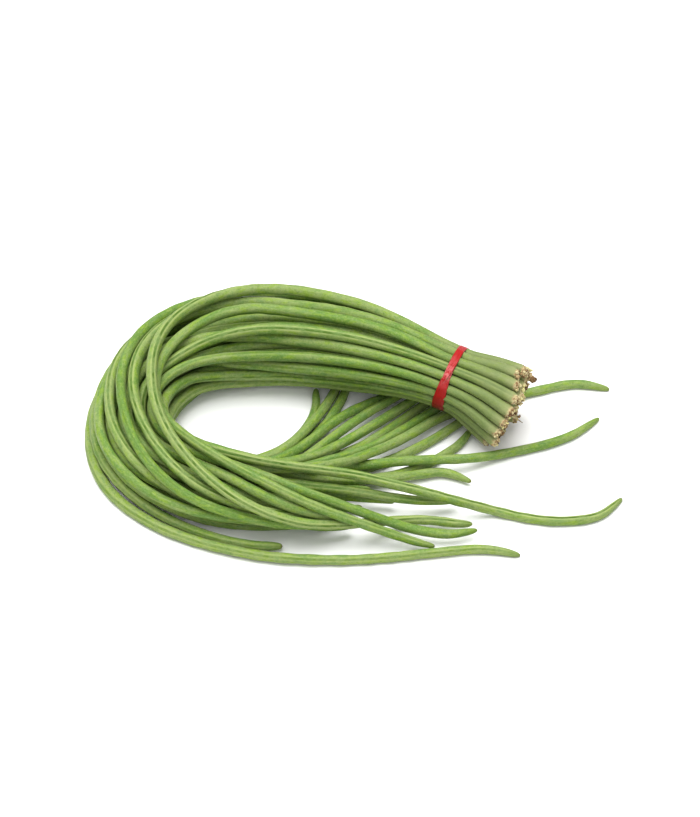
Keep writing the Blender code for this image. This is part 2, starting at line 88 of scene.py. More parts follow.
# Pods: seeds, waves and seams
SEED_STEP = 0.0165
SEED_SWELL = 0.038
SEED_DRIFT = 0.35
DRIFT_LENGTH = 0.06
SWELL_HEIGHT = 0.6
SWELL_LENGTH = 0.11
GIRTH_CHANGE = 0.022
GIRTH_LENGTH = 0.07
WAVE = 0.00035
WAVE_LENGTHS = (0.045, 0.038)
CALM_TIP = 0.010
TIED_LENGTH = 0.09
LOOSE_FADE = 0.05
SEAM_DEPTH = 0.060
SEAM_WIDTH = 0.30
BACK_SHARE = 0.6
FLATNESS = 0.035
RIDGES = 5
RIDGE_HEIGHT = 0.016
RIDGE_TURN = 1.1
SEAM_TWIST = 2.4
SEAM_WANDER = 0.6
WANDER_LENGTH = 0.2
SEAM_STEP = 1.7

# Pods: distance from an end, in metres, against the share of the pod's thickness there
STEM_SHAPE = ((0.0, 0.78), (0.0006, 0.92), (0.0016, 1.00), (0.0030, 1.04), (0.0060, 1.10), (0.0120, 1.12),
              (0.0220, 1.07), (0.0350, 1.0))
TIP_SHAPE = ((0.0, 0.15), (0.0003, 0.28), (0.0008, 0.40), (0.0016, 0.50), (0.0030, 0.59), (0.0055, 0.69),
             (0.0090, 0.79), (0.0140, 0.88), (0.0200, 0.95), (0.0300, 1.0))
STEM_ROUGHNESS = 0.22
ROUGH_RINGS = 8
ROUGH_LENGTH = 0.012
ROUGH_ALONG = 200.0
ROUGH_ROUND = 3.0
ROUGH_STEP = 5.0

# Pods: ends that lie in plain sight
STEM_TRIM = {"pod_03": 0.008, "pod_04": 0.009, "pod_05": 0.011, "pod_06": 0.014, "pod_07": 0.015,
             "pod_08": 0.012, "pod_09": 0.004, "pod_11": 0.008, "pod_12": 0.011, "pod_13": 0.013,
             "pod_14": 0.012, "pod_15": 0.007, "pod_21": 0.013, "pod_22": 0.012, "pod_26": 0.013,
             "pod_28": 0.013, "pod_30": 0.011}
OTHER_TRIM = 0.0040
TIP_LENGTH = {"pod_01": 0.6, "pod_04": 1.1, "pod_07": 0.9, "pod_08": 1.2, "pod_09": 1.25, "pod_10": 0.8,
              "pod_13": 0.75, "pod_14": 0.35, "pod_20": 0.75, "pod_25": 1.2}
TIP_HOOK = {"pod_09": (0.0, 0.0015, 0.0), "pod_10": (0.0010, -0.0042, -0.0005), "pod_13": (0.0, -0.0022, 0.0),
            "pod_20": (0.0022, -0.0045, 0.0), "pod_25": (0.0, 0.0010, 0.0)}
HOOK_LENGTH = 0.022
HOOK_SIZE = 0.0020
HOOK_RISE = 0.0010
USUAL_TIP = 0.7
TIP_SPREAD = 0.5
TIP_STEP = 0.618
BLUNT_LENGTH = 0.0016
SEAM_AT_TIP = {"pod_01": 0.40, "pod_03": 6.24, "pod_04": 0.45, "pod_05": 5.77, "pod_09": 0.45,
               "pod_13": 1.0, "pod_14": 0.45}
SEAM_CLEARNESS = {"pod_01": 0.85, "pod_02": 0.60, "pod_03": 0.80, "pod_04": 0.45, "pod_05": 0.80,
                  "pod_09": 0.95, "pod_11": 0.70, "pod_13": 0.45, "pod_14": 0.40}
USUAL_CLEARNESS = 0.10
CLEARNESS_SPREAD = 0.55
CLEARNESS_STEP = 0.37
LIES_DOWN = {"pod_01": (0.040, 0.5), "pod_07": (0.040, 0.5), "pod_09": (0.080, 1.0), "pod_13": (0.110, 1.0),
             "pod_20": (0.050, 1.0), "pod_25": (0.060, 1.0)}
LIE_FADE = 0.045

# Patterns on a pod: how fine they are round and along it, detail and roughness
PATTERNS = {"broad": (0.55, 42.0, 2.0, 0.55), "patch": (1.3, 130.0, 3.0, 0.6),
            "mottle": (2.3, 430.0, 4.0, 0.75), "streak": (2.6, 26.0, 3.0, 0.6),
            "grain": (5.5, 1500.0, 3.0, 0.7), "cork": (1.8, 700.0, 4.0, 0.7)}

# Colours, and where each tint shows on a pod: pattern, low and high end of its ramp, and share
GREY_GREEN = (0.222, 0.298, 0.092, 1.0)
LEAF_GREEN = (0.112, 0.218, 0.034, 1.0)
LIME_GREEN = (0.195, 0.310, 0.022, 1.0)
BLUE_GREEN = (0.105, 0.215, 0.062, 1.0)
DEEP_GREEN = (0.045, 0.105, 0.011, 1.0)
PALE_GREEN = (0.300, 0.365, 0.125, 1.0)
SEAM_GREEN = (0.045, 0.100, 0.009, 1.0)
TIP_GREEN = (0.125, 0.175, 0.024, 1.0)
NECK_GREEN = (0.165, 0.192, 0.078, 1.0)
STEM_GREEN = (0.290, 0.310, 0.135, 1.0)
NIB_BROWN = (0.11, 0.09, 0.03, 1.0)
TINTS = (("patch", 0.50, 0.64, 0.80, LIME_GREEN), ("patch", 0.44, 0.32, 0.60, BLUE_GREEN),
         ("mottle", 0.52, 0.66, 0.50, PALE_GREEN), ("mottle", 0.47, 0.33, 0.50, DEEP_GREEN),
         ("streak", 0.54, 0.74, 0.30, DEEP_GREEN), ("grain", 0.50, 0.70, 0.50, PALE_GREEN),
         ("grain", 0.47, 0.30, 0.45, DEEP_GREEN))
CORK_DARK = (0.060, 0.032, 0.015, 1.0)
CORK_TONES = ((0.05, 0.22, (0.20, 0.110, 0.045, 1.0)), (0.22, 0.45, (0.44, 0.32, 0.16, 1.0)),
              (0.45, 0.72, (0.58, 0.50, 0.28, 1.0)), (0.80, 0.97, (0.58, 0.54, 0.23, 1.0)))
# Band: the dark red is painted shade that the band's lower part turns to
BAND_PAINTED_SHADE = (0.080, 0.001, 0.001, 1.0)
BAND_RED = (0.350, 0.008, 0.008, 1.0)
BAND_PATCH = (0.410, 0.014, 0.018, 1.0)
# Painted highlight: the pale pink at the band's fold
BAND_PAINTED_HIGHLIGHT = (0.560, 0.130, 0.130, 1.0)

# Cork at the stem ends
CORK_SEED = 5
LUMPS = 12
LUMP_SIZES = (0.0005, 0.0012)
LUMP_ROUGHNESS = 0.55
LUMP_DETAIL = 1.6
LUMP_SPREAD = 0.92
LUMP_RISES = (-0.0004, 0.0014)
LUMP_STRETCH = (0.6, 1.3)
COVER_RING = 4
ROD_SIDES = 6
KNOB_POD = "pod_11"
KNOB_LUMPS = ((0.0034, 0.0, 0.0, (0.0025, 0.0021, 0.0022), 0.20),
              (0.0050, 0.0008, 0.0, (0.0016, 0.0014, 0.0014), 0.10),
              (0.0014, 0.0, -0.0012, (0.0020, 0.0017, 0.0016), 0.40))
TWIG_STEPS = ((0.0, 0.0, 0.001), (0.0035, -0.0008, 0.0008), (0.0065, -0.0022, -0.0002),
              (0.0100, -0.0042, -0.0018))
TWIG_RADII = (0.0007, 0.0006, 0.0004, 0.00022)
TWIG_TONES = (0.9, 0.8, 0.45, 0.1)
FLAKE_OUT = 0.0018
FLAKE_ASIDE = 0.0022
FLAKE_SIZES = (0.0019, 0.0011, 0.00022)
FLAKE_TONES = (0.86, 1.0)
TWIG_POD = "pod_28"
FLAKE_PODS = ("pod_07", "pod_26", "pod_28", "pod_07", "pod_26")

# Band
BAND_STEPS = 200
BAND_ACROSS = 14
BAND_HALF_HIGH = 0.0027
BAND_HALF_LOW = 0.0047
BAND_SLANT = 0.0010
BAND_THICKNESS = 0.0005
BAND_BACK = 1.4
BAND_UNEVEN = 0.10
WRINKLE = 0.00028
BAND_TAPER = 1.5
FOLD_PINCH = 0.14
PINCH_WIDTH = 0.30
CROSS_WIDTH = 0.28
CALM_WRINKLE = 0.30
FOLD_WRINKLE = 1.8
WRINKLE_WIDTH = 0.42
CREASES = 6.5
CREASE_SWAY = 2.0
CREASE_UNEVEN = 4.0
OVER_HALF = 0.0011
OVER_SPREAD = 0.0005
SPREAD_WIDTH = 0.35
OVER_PLACE = 0.0017
OVER_LIFT = 0.0013
LIFT_WIDTH = 0.50
OVER_SUNK = 0.0003
OVER_WRINKLE = 0.4
FOLD_TURN = math.radians(50.0)
HULL_POINTS = 40
HULL_EASING = 3


def unit(vector):
    return vector / np.linalg.norm(vector)


def pods():
    """The pod nodes, by name."""
    return {name: item for name, item in sorted(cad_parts.items()) if name.startswith("pod_")}


def in_order(verts):
    """Vertices as a list that is the same in each run."""
    return sorted(verts, key=lambda vert: vert.index)


def flat_group(face, seen):
    """The faces joined to one face in the same plane."""
    group = [face]
    seen.add(face)
    for one in group:
        for edge in one.edges:
            for other in edge.link_faces:
                if other not in seen and other.normal.dot(face.normal) > SAME_PLANE:
                    seen.add(other)
                    group.append(other)
    return group


def end_caps(shell):
    """The vertices of a tube's two small end caps."""
    caps = []
    seen = set()
    for face in shell.faces:
        if face in seen:
            continue
        verts = in_order({vert for one in flat_group(face, seen) for vert in one.verts})
        if len(verts) != SOLID_SIDES:
            continue
        middle = sum((vert.co for vert in verts), Vector()) / SOLID_SIDES
        if max((vert.co - middle).length for vert in verts) < CAP_REACH:
            caps.append(verts)
    return caps


def tube_rings(item):
    """Centres and radii of a pod node's rings, from its stem end to its tip."""
    shell = bmesh.new()
    shell.from_mesh(item.data)
    bmesh.ops.remove_doubles(shell, verts=shell.verts, dist=WELD)
    shell.verts.index_update()
    shell.normal_update()
    caps = end_caps(shell)
    if len(caps) != 2:
        raise ValueError(f"{item.name} has {len(caps)} end caps")
    ring = caps[0]
    seen = set()
    centres = []
    radii = []
    while ring:
        middle = sum((vert.co for vert in ring), Vector()) / len(ring)
        centres.append(np.array(middle))
        radii.append(sum((vert.co - middle).length for vert in ring) / len(ring))
        seen.update(ring)
        ring = in_order({edge.other_vert(vert) for vert in ring for edge in vert.link_edges} - seen)
    shell.free()
    centres = np.array(centres)
    radii = np.array(radii)
    if radii[0] < radii[-1]:
        return centres[::-1], radii[::-1]
    return centres, radii


def distance_along(line):
    steps = np.linalg.norm(np.diff(line, axis=0), axis=1)
    return np.concatenate(((0.0,), np.cumsum(steps)))


def at_places(line, wanted):
    """Points on a line at distances along it."""
    along = distance_along(line)
    return np.stack([np.interp(wanted, along, values) for values in line.T], axis=1)


def ring_places(start, total, step):
    """Places of the rings along a pod from its start, closer together at its two ends."""
    close = np.concatenate(([0.0], np.cumsum(END_STEPS)))
    first = start + close[-1]
    last = total - close[-1]
    middle = np.linspace(first, last, int((last - first) / step) + 1)
    return np.concatenate((start + close[:-1], middle, (total - close[:-1])[::-1]))


def smooth_line(points):
    """A centripetal Catmull-Rom curve through points, with many short pieces."""
    knots = np.vstack((2.0 * points[0] - points[1], points, 2.0 * points[-1] - points[-2]))
    fine = [points[0]]
    for index in range(len(points) - 1):
        quad = knots[index:index + 4]
        gaps = np.sqrt(np.linalg.norm(np.diff(quad, axis=0), axis=1)).clip(KNOT_GAP)
        t0, t1, t2, t3 = 0.0, gaps[0], gaps[0] + gaps[1], gaps.sum()
        for t in np.linspace(t1, t2, CURVE_SPLITS + 1)[1:]:
            a1 = (t1 - t) / (t1 - t0) * quad[0] + (t - t0) / (t1 - t0) * quad[1]
            a2 = (t2 - t) / (t2 - t1) * quad[1] + (t - t1) / (t2 - t1) * quad[2]
            a3 = (t3 - t) / (t3 - t2) * quad[2] + (t - t2) / (t3 - t2) * quad[3]
            b1 = (t2 - t) / (t2 - t0) * a1 + (t - t0) / (t2 - t0) * a2
            b2 = (t3 - t) / (t3 - t1) * a2 + (t - t1) / (t3 - t1) * a3
            fine.append((t2 - t) / (t2 - t1) * b1 + (t - t1) / (t2 - t1) * b2)
    return np.array(fine)


def wave(along, wavelength, seed):
    """A smooth uneven wave between about -1 and 1 along a pod."""
    return np.array([2.0 * noise.noise(Vector((place / wavelength, 7.3 * seed, 1.9))) for place in along])


def scattered(number):
    """A share from 0 to 1 that jumps about from one whole number to the next."""
    return math.sin(12.9898 * number) * 43758.5453 % 1.0


def strip(a, b, count):
    """The faces between two closed rings of points that start at a and b."""
    return [(a + side, a + (side + 1) % count, b + (side + 1) % count, b + side) for side in range(count)]


def carried_frames(line):
    """Directions across a line at each point, carried along it without twist."""
    ahead = np.gradient(line, distance_along(line), axis=0)
    ahead /= np.linalg.norm(ahead, axis=1)[:, None]
    side = unit(np.cross(ahead[0], (0.0, 0.0, 1.0)))
    sides = []
    for direction in ahead:
        side = unit(side - direction * side.dot(direction))
        sides.append(side)
    sides = np.array(sides)
    return ahead, sides, np.cross(ahead, sides)


def end_share(distance, shape):
    """The share of a pod's thickness at a distance from its end."""
    places, shares = zip(*shape)
    return np.interp(distance, places, shares)


class Pod:
    """One pod's middle line with its thickness along it."""

    def __init__(self, name, number, item):
        self.name = name
        self.number = number
        centres, radii = tube_rings(item)
        chain = np.vstack((centres[:1], centres[END_RINGS:-END_RINGS], centres[-1:]))
        fine = smooth_line(chain)
        total = distance_along(fine)[-1]
        places = ring_places(STEM_TRIM.get(name, OTHER_TRIM), total, RING_STEP)
        self.line = at_places(fine, places)
        self.along = places - places[0]
        self.from_tip = total - places
        inner = slice(END_RINGS, len(radii) - END_RINGS)
        ring_along = distance_along(centres)
        body = np.interp(places * ring_along[-1] / total, ring_along[inner], radii[inner])
        self.loose = np.clip((self.along - TIED_LENGTH) / LOOSE_FADE, 0.0, 1.0)
        self.loose *= np.clip(self.from_tip / CALM_TIP, 0.0, 1.0)
        self.radius = body * SKIN_SHARE * self.swelling() * self.end_shares()
        self.bend_softly()
        self.lie_down()
        self.ahead, self.sides, self.ups = carried_frames(self.line)

    def bend_softly(self):
        """Small waves along the loose part, and the tip's hook."""
        number = self.number
        _, sides, ups = carried_frames(self.line)
        for directions, length, seed in zip((sides, ups), WAVE_LENGTHS, (number, number + 50)):
            self.line = self.line + (WAVE * self.loose * wave(self.along, length, seed))[:, None] * directions
        turn = TURN_STEP * number
        usual = HOOK_SIZE * math.cos(turn) * sides[-1] + np.array((0.0, 0.0, HOOK_RISE * abs(math.sin(turn))))
        share = np.clip(1.0 - self.from_tip / HOOK_LENGTH, 0.0, 1.0) ** 2
        self.line = self.line + share[:, None] * np.array(TIP_HOOK.get(self.name, usual))

    def lie_down(self):
        """Let a free tail sink on to the surface, moved back so that its outline stays the photograph's."""
        length, share = LIES_DOWN.get(self.name, (0.0, 0.0))
        fade = np.clip((length + LIE_FADE - self.from_tip) / LIE_FADE, 0.0, 1.0)
        fall = share * fade * fade * (3.0 - 2.0 * fade) * (self.line[:, 2] - self.radius).clip(0.0)
        self.line[:, 2] -= fall
        self.line[:, 1] += fall / math.tan(VIEW_ELEVATION)

    def swelling(self):
        """The share by which seeds and uneven growth change the thickness."""
        number = self.number
        phase = self.along / SEED_STEP + SEED_DRIFT * wave(self.along, DRIFT_LENGTH, number + 90)
        height = SWELL_HEIGHT + SWELL_HEIGHT * wave(self.along, SWELL_LENGTH, number + 30)
        swell = 1.0 + SEED_SWELL * self.loose * np.cos(2.0 * math.pi * phase) * height
        return swell * (1.0 + GIRTH_CHANGE * wave(self.along, GIRTH_LENGTH, number + 10))

    def end_shares(self):
        """The share of the thickness at each ring that the stem end and the tip leave."""
        reach = TIP_LENGTH.get(self.name, USUAL_TIP + TIP_SPREAD * (TIP_STEP * self.number % 1.0))
        tip = np.maximum(self.from_tip / reach, np.minimum(self.from_tip, BLUNT_LENGTH))
        return end_share(self.along, STEM_SHAPE) * end_share(tip, TIP_SHAPE)

    def seam_angles(self):
        """Each ring point's angle from the pod's seam."""
        top = math.atan2(self.ups[-1][2], self.sides[-1][2])
        at_tip = SEAM_AT_TIP.get(self.name, SEAM_STEP * self.number)
        wander = SEAM_WANDER * wave(self.along, WANDER_LENGTH, self.number + 70)
        seam = top + at_tip + SEAM_TWIST * self.from_tip + wander
        return TURNS - seam[:, None]

    def relief(self, angle):
        """Share of the thickness at each ring point: seams, flat sides, low ridges and the rough stem end."""
        seam = np.exp(-(np.angle(np.exp(1j * angle)) / SEAM_WIDTH) ** 2)
        back = np.exp(-(np.angle(np.exp(1j * (angle - math.pi))) / SEAM_WIDTH) ** 2)
        share = 1.0 + FLATNESS * np.cos(2.0 * angle) - SEAM_DEPTH * (seam + BACK_SHARE * back)
        share += RIDGE_HEIGHT * np.cos(RIDGES * angle + RIDGE_TURN * self.number)
        places = self.along[:ROUGH_RINGS]
        rough = np.array([[noise.noise(Vector((ROUGH_ALONG * place, ROUGH_ROUND * math.cos(turn),
                                               ROUGH_ROUND * math.sin(turn) + ROUGH_STEP * self.number)))
                           for turn in TURNS] for place in places])
        share[:ROUGH_RINGS] += STEM_ROUGHNESS * rough * (1.0 - places / ROUGH_LENGTH).clip(0.0)[:, None]
        return share

    def points(self, angle):
        """The skin's points, ring by ring, and one at the middle of each end."""
        reach = self.radius[:, None] * self.relief(angle)
        out = np.cos(TURNS)[None, :, None] * self.sides[:, None, :]
        out = out + np.sin(TURNS)[None, :, None] * self.ups[:, None, :]
        rings = self.line[:, None, :] + reach[..., None] * out
        stem_cap = self.line[0] - self.ahead[0] * CAP_BULGE
        tip_cap = self.line[-1] + self.ahead[-1] * CAP_BULGE
        points = np.vstack((rings.reshape(-1, 3), stem_cap, tip_cap))
        points[:, 2] = np.maximum(points[:, 2], LOWEST)
        return points

    def faces(self):
        count = len(self.line)
        faces = []
        for ring in range(count - 1):
            faces.extend(strip(ring * SIDES, (ring + 1) * SIDES, SIDES))
        cap = count * SIDES
        last = (count - 1) * SIDES
        faces.extend((cap, (side + 1) % SIDES, side) for side in range(SIDES))
        faces.extend((cap + 1, last + side, last + (side + 1) % SIDES) for side in range(SIDES))
        return faces

    def skin(self):
        """The pod's skin as a smooth mesh that also holds the places that its colours follow."""
        angle = self.seam_angles()
        piece = smooth_piece("skin_" + self.name, self.points(angle), self.faces())
        count = len(self.line)
        along = np.repeat(self.along, SIDES)
        from_tip = np.repeat(self.from_tip, SIDES)
        total = self.along[-1]
        tone = scattered(self.number)
        fibre = np.stack((np.cos(angle).ravel(), np.sin(angle).ravel(), along), axis=1)
        fibre = np.vstack((fibre, (0.0, 0.0, 0.0), (0.0, 0.0, total)))
        place = np.stack((along, from_tip, np.full(count * SIDES, tone)), axis=1)
        place = np.vstack((place, (0.0, total, tone), (total, 0.0, tone)))
        usual = USUAL_CLEARNESS + CLEARNESS_SPREAD * (CLEARNESS_STEP * self.number % 1.0) ** 2
        clear = SEAM_CLEARNESS.get(self.name, usual)
        mark = np.tile((clear, 0.0, 0.0), (len(place), 1))
        for key, values in (("fibre", fibre), ("place", place), ("mark", mark)):
            layer = piece.data.attributes.new(key, "FLOAT_VECTOR", "POINT")
            layer.data.foreach_set("vector", values.ravel().astype(np.float32))
        return piece


def smooth_piece(name, points, faces):
    """A new smooth object from points and faces."""
    mesh = bpy.data.meshes.new(name)
    mesh.from_pydata([tuple(point) for point in points], [], faces)
    mesh.update()
    mesh.shade_smooth()
    piece = bpy.data.objects.new(name, mesh)
    bpy.context.scene.collection.objects.link(piece)
    return piece


class Cork:
    """Dry lumps, flakes, a knob and a twig on the pods' stem ends, as one mesh of closed shells."""

    def __init__(self):
        self.shell = bmesh.new()
        self.tones = self.shell.verts.layers.float.new("tone")
        self.random = np.random.default_rng(CORK_SEED)

    def lump(self, centre, sizes, tone):
        """An uneven ball, stretched by three sizes and turned at random."""
        turn = Matrix.Rotation(self.random.uniform(0.0, 6.28), 3, Vector(unit(self.random.normal(size=3))))
        offset = Vector(self.random.uniform(0.0, 50.0, 3))
        made = bmesh.ops.create_icosphere(self.shell, subdivisions=2, radius=1.0)["verts"]
        for vert in made:
            bulge = 1.0 + LUMP_ROUGHNESS * noise.noise(vert.co * LUMP_DETAIL + offset)
            place = Vector((vert.co[axis] * bulge * sizes[axis] for axis in range(3)))
            vert.co = Vector(centre) + turn @ place
            vert.co.z = max(vert.co.z, LOWEST)
            vert[self.tones] = tone

    def rod(self, points, radii, tones):
        """A thin closed rod through points."""
        _, sides, ups = carried_frames(np.array(points))
        rings = []
        for index, point in enumerate(points):
            ring = []
            for step in range(ROD_SIDES):
                turn = 2.0 * math.pi * step / ROD_SIDES
                out = sides[index] * math.cos(turn) + ups[index] * math.sin(turn)
                vert = self.shell.verts.new(Vector(point + out * radii[index]))
                vert[self.tones] = tones[index]
                ring.append(vert)
            rings.append(ring)
        for one, two in zip(rings, rings[1:]):
            for step in range(ROD_SIDES):
                after = (step + 1) % ROD_SIDES
                self.shell.faces.new((one[step], one[after], two[after], two[step]))
        self.shell.faces.new(rings[0][::-1])
        self.shell.faces.new(rings[-1])

    def cover(self, pod):
        """Lumps all over a pod's stem end."""
        out = -pod.ahead[0]
        for index in range(LUMPS):
            turn = TURN_STEP * index + pod.number
            reach = pod.radius[COVER_RING] * LUMP_SPREAD * math.sqrt((index + 0.5) / LUMPS)
            across = pod.sides[0] * math.cos(turn) + pod.ups[0] * math.sin(turn)
            size = self.random.uniform(*LUMP_SIZES)
            rise = self.random.uniform(*LUMP_RISES)
            sizes = size * self.random.uniform(*LUMP_STRETCH, 3)
            self.lump(pod.line[0] + across * reach + out * rise, sizes, self.random.uniform(0.0, 1.0))

    def knob(self, pod):
        """A dark withered knob beyond a pod's end."""
        for out, aside, up, sizes, tone in KNOB_LUMPS:
            self.lump(pod.line[0] - pod.ahead[0] * out + pod.sides[0] * aside + pod.ups[0] * up, sizes, tone)

    def twig(self, pod):
        """A thin bit of stalk with a brown end."""
        self.rod([pod.line[0] + np.array(step) for step in TWIG_STEPS], TWIG_RADII, TWIG_TONES)

    def flake(self, pod):
        """A thin pale scale standing off a pod's end."""
        across = unit(self.random.normal(size=3))
        place = pod.line[0] - pod.ahead[0] * FLAKE_OUT + across * FLAKE_ASIDE
        self.lump(place, FLAKE_SIZES, self.random.uniform(*FLAKE_TONES))

    def piece(self):
        bmesh.ops.recalc_face_normals(self.shell, faces=self.shell.faces)
        mesh = bpy.data.meshes.new("stem_scars")
        self.shell.to_mesh(mesh)
        self.shell.free()
        mesh.shade_smooth()
        piece = bpy.data.objects.new("stem_scars", mesh)
        bpy.context.scene.collection.objects.link(piece)
        return piece


class Nodes:
    """A short way to write a material's node tree."""

    def __init__(self, name):
        self.material = bpy.data.materials.new(name)
        self.material.use_nodes = True
        self.tree = self.material.node_tree
        self.shader = self.tree.nodes["Principled BSDF"]

    def add(self, kind, inputs=None, **settings):
        node = self.tree.nodes.new(kind)
        for key, value in settings.items():
            setattr(node, key, value)
        for key, value in (inputs or {}).items():
            self.put(node.inputs[key], value)
        return node

    def put(self, socket, value):
        if isinstance(value, bpy.types.NodeSocket):
            self.tree.links.new(value, socket)
        else:
            socket.default_value = value

    def maths(self, operation, *values):
        node = self.add("ShaderNodeMath", operation=operation)
        for socket, value in zip(node.inputs, values):
            self.put(socket, value)
        return node.outputs[0]

    def less(self, value):
        """One less a value."""
        return self.maths("SUBTRACT", 1.0, value)

    def times(self, one, two):
        return self.maths("MULTIPLY", one, two)

    def mix(self, share, one, two):
        node = self.add("ShaderNodeMix", data_type="RGBA")
        self.put(node.inputs[0], share)
        self.put(node.inputs[6], one)
        self.put(node.inputs[7], two)
        return node.outputs[2]

    def ramp(self, value, low, high):
        node = self.add("ShaderNodeMapRange", {"Value": value, "From Min": low, "From Max": high})
        node.clamp = True
        return node.outputs["Result"]

    def noise(self, vector, scale, detail=3.0, roughness=0.55):
        node = self.add("ShaderNodeTexNoise", {"Vector": vector, "Scale": scale, "Detail": detail,
                                               "Roughness": roughness})
        return node.outputs["Fac"]

    def moved(self, vector, offset):
        node = self.add("ShaderNodeVectorMath", operation="ADD")
        self.put(node.inputs[0], vector)
        self.put(node.inputs[1], offset)
        return node.outputs["Vector"]

    def scaled(self, vector, x, y, z):
        node = self.add("ShaderNodeVectorMath", operation="MULTIPLY")
        self.put(node.inputs[0], vector)
        node.inputs[1].default_value = (x, y, z)
        return node.outputs["Vector"]

    def attribute(self, name, output):
        return self.add("ShaderNodeAttribute", attribute_name=name).outputs[output]

    def cork_colour(self, value):
        """Dark brown, brown, tan and cream of dry cork, by a value from 0 to 1."""
        colour = CORK_DARK
        for low, high, lighter in CORK_TONES:
            colour = self.mix(self.ramp(value, low, high), colour, lighter)
        return colour

    def bump(self, height, strength, distance):
        node = self.add("ShaderNodeBump", {"Strength": strength, "Distance": distance, "Height": height})
        self.put(self.shader.inputs["Normal"], node.outputs["Normal"])


def pod_material():
    """Matte green skin with uneven patches, pale ridges along the pod, dark seams and corky stem ends."""
    nodes = Nodes("pod_skin")
    fibre = nodes.attribute("fibre", "Vector")
    place = nodes.attribute("place", "Vector")
    from_stem, from_tip, tone = nodes.add("ShaderNodeSeparateXYZ", {"Vector": place}).outputs
    turned = nodes.add("ShaderNodeSeparateXYZ", {"Vector": fibre}).outputs["X"]
    offset = nodes.add("ShaderNodeCombineXYZ", {"X": nodes.times(tone, 37.0), "Y": nodes.times(tone, 11.0),
                                                "Z": tone}).outputs[0]
    made = {key: nodes.noise(nodes.moved(nodes.scaled(fibre, fine_round, fine_round, fine_along), offset),
                             1.0, detail, roughness)
            for key, (fine_round, fine_along, detail, roughness) in PATTERNS.items()}
    tone_shift = nodes.times(nodes.maths("SUBTRACT", tone, 0.5), 0.24)
    broad = nodes.maths("ADD", made["broad"], tone_shift)
    green = nodes.mix(nodes.ramp(broad, 0.38, 0.62), LEAF_GREEN, GREY_GREEN)
    for key, low, high, share, tint in TINTS:
        green = nodes.mix(nodes.times(nodes.ramp(made[key], low, high), share), green, tint)
    seam = nodes.ramp(turned, 0.955, 0.985)
    flank = nodes.times(nodes.ramp(turned, 0.78, 0.92), nodes.less(seam))
    back = nodes.ramp(nodes.times(turned, -1.0), 0.970, 0.995)
    clear = nodes.add("ShaderNodeSeparateXYZ", {"Vector": nodes.attribute("mark", "Vector")}).outputs["X"]
    clear = nodes.times(clear, nodes.maths("MULTIPLY_ADD", nodes.ramp(made["patch"], 0.42, 0.58), 0.6, 0.4))
    green = nodes.mix(nodes.times(flank, clear), green, PALE_GREEN)
    green = nodes.mix(nodes.times(nodes.maths("MAXIMUM", seam, back), clear), green, SEAM_GREEN)
    green = nodes.mix(nodes.times(nodes.less(nodes.ramp(from_tip, 0.0, 0.012)), 0.40), green, TIP_GREEN)
    nib = nodes.less(nodes.ramp(from_tip, 0.0003, 0.0012))
    green = nodes.mix(nodes.times(nib, 0.6), green, NIB_BROWN)
    edge = nodes.maths("ADD", from_stem, nodes.times(nodes.maths("SUBTRACT", made["cork"], 0.5), 0.008))
    green = nodes.mix(nodes.times(nodes.less(nodes.ramp(from_stem, 0.02, 0.08)), 0.62), green, NECK_GREEN)
    green = nodes.mix(nodes.times(nodes.less(nodes.ramp(edge, 0.0020, 0.0100)), 0.60), green, STEM_GREEN)
    cork = nodes.less(nodes.ramp(edge, 0.0008, 0.0022))
    colour = nodes.mix(cork, green, nodes.cork_colour(nodes.ramp(made["cork"], 0.28, 0.66)))
    nodes.put(nodes.shader.inputs["Base Color"], colour)
    nodes.put(nodes.shader.inputs["Roughness"], nodes.maths("MULTIPLY_ADD", made["grain"], 0.22, 0.42))
    nodes.shader.inputs["Specular IOR Level"].default_value = 0.15
    height = nodes.maths("ADD", nodes.times(made["mottle"], 0.7), nodes.times(made["grain"], 0.6))
    nodes.bump(height, 0.40, 0.0005)
    return nodes.material


def cork_material():
    """Dry cork, by each lump's own tone."""
    nodes = Nodes("stem_cork")
    spot = nodes.noise(nodes.add("ShaderNodeTexCoord").outputs["Object"], 900.0, 3.0, 0.7)
    change = nodes.times(nodes.maths("SUBTRACT", spot, 0.5), 0.7)
    tone = nodes.maths("ADD", nodes.attribute("tone", "Fac"), change)
    nodes.put(nodes.shader.inputs["Base Color"], nodes.cork_colour(tone))
    nodes.shader.inputs["Roughness"].default_value = 0.75
    nodes.shader.inputs["Specular IOR Level"].default_value = 0.20
    nodes.bump(spot, 0.4, 0.0003)
    return nodes.material


def tie_section(dressed):
    """The band's middle, its plane's directions, and where the dressed pods cross the plane."""
    near = unit(np.cross(TIE_AXIS, (0.0, 0.0, 1.0)))
    up = unit(np.cross(near, TIE_AXIS))
    low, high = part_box("tie_band")
    middle = 0.5 * (np.array(low) + np.array(high))
    found = []
    for pod in dressed:
        along = (pod.line - middle) @ TIE_AXIS
        index = int(np.argmax((along[:-1] >= 0.0) & (along[1:] < 0.0)))
        point = pod.line[index] - middle
        found.append((point @ near, point @ up, pod.radius[index]))
    return middle, near, up, np.array(found)


def hull_line(found):
    """The stretched outline round discs, as evenly spaced points, with the way out at each."""
    turns = np.arange(HULL_POINTS) * 2.0 * math.pi / HULL_POINTS
    rims = [(x + r * math.cos(t), y + r * math.sin(t)) for x, y, r in found for t in turns]
    rims.sort()
    hull = []
    for order in (rims, rims[::-1]):
        half = []
        for point in order:
            while len(half) > 1 and cross(half[-2], half[-1], point) <= 0.0:
                half.pop()
            half.append(point)
        hull += half[:-1]
    hull = np.array(hull + hull[:1])
    line = at_places(hull, np.linspace(0.0, distance_along(hull)[-1], BAND_STEPS, endpoint=False))
    for _ in range(HULL_EASING):
        line = 0.5 * line + 0.25 * (np.roll(line, 1, axis=0) + np.roll(line, -1, axis=0))
    ahead = np.roll(line, -1, axis=0) - np.roll(line, 1, axis=0)
    ahead /= np.linalg.norm(ahead, axis=1)[:, None]
    return line, np.stack((ahead[:, 1], -ahead[:, 0]), axis=1)


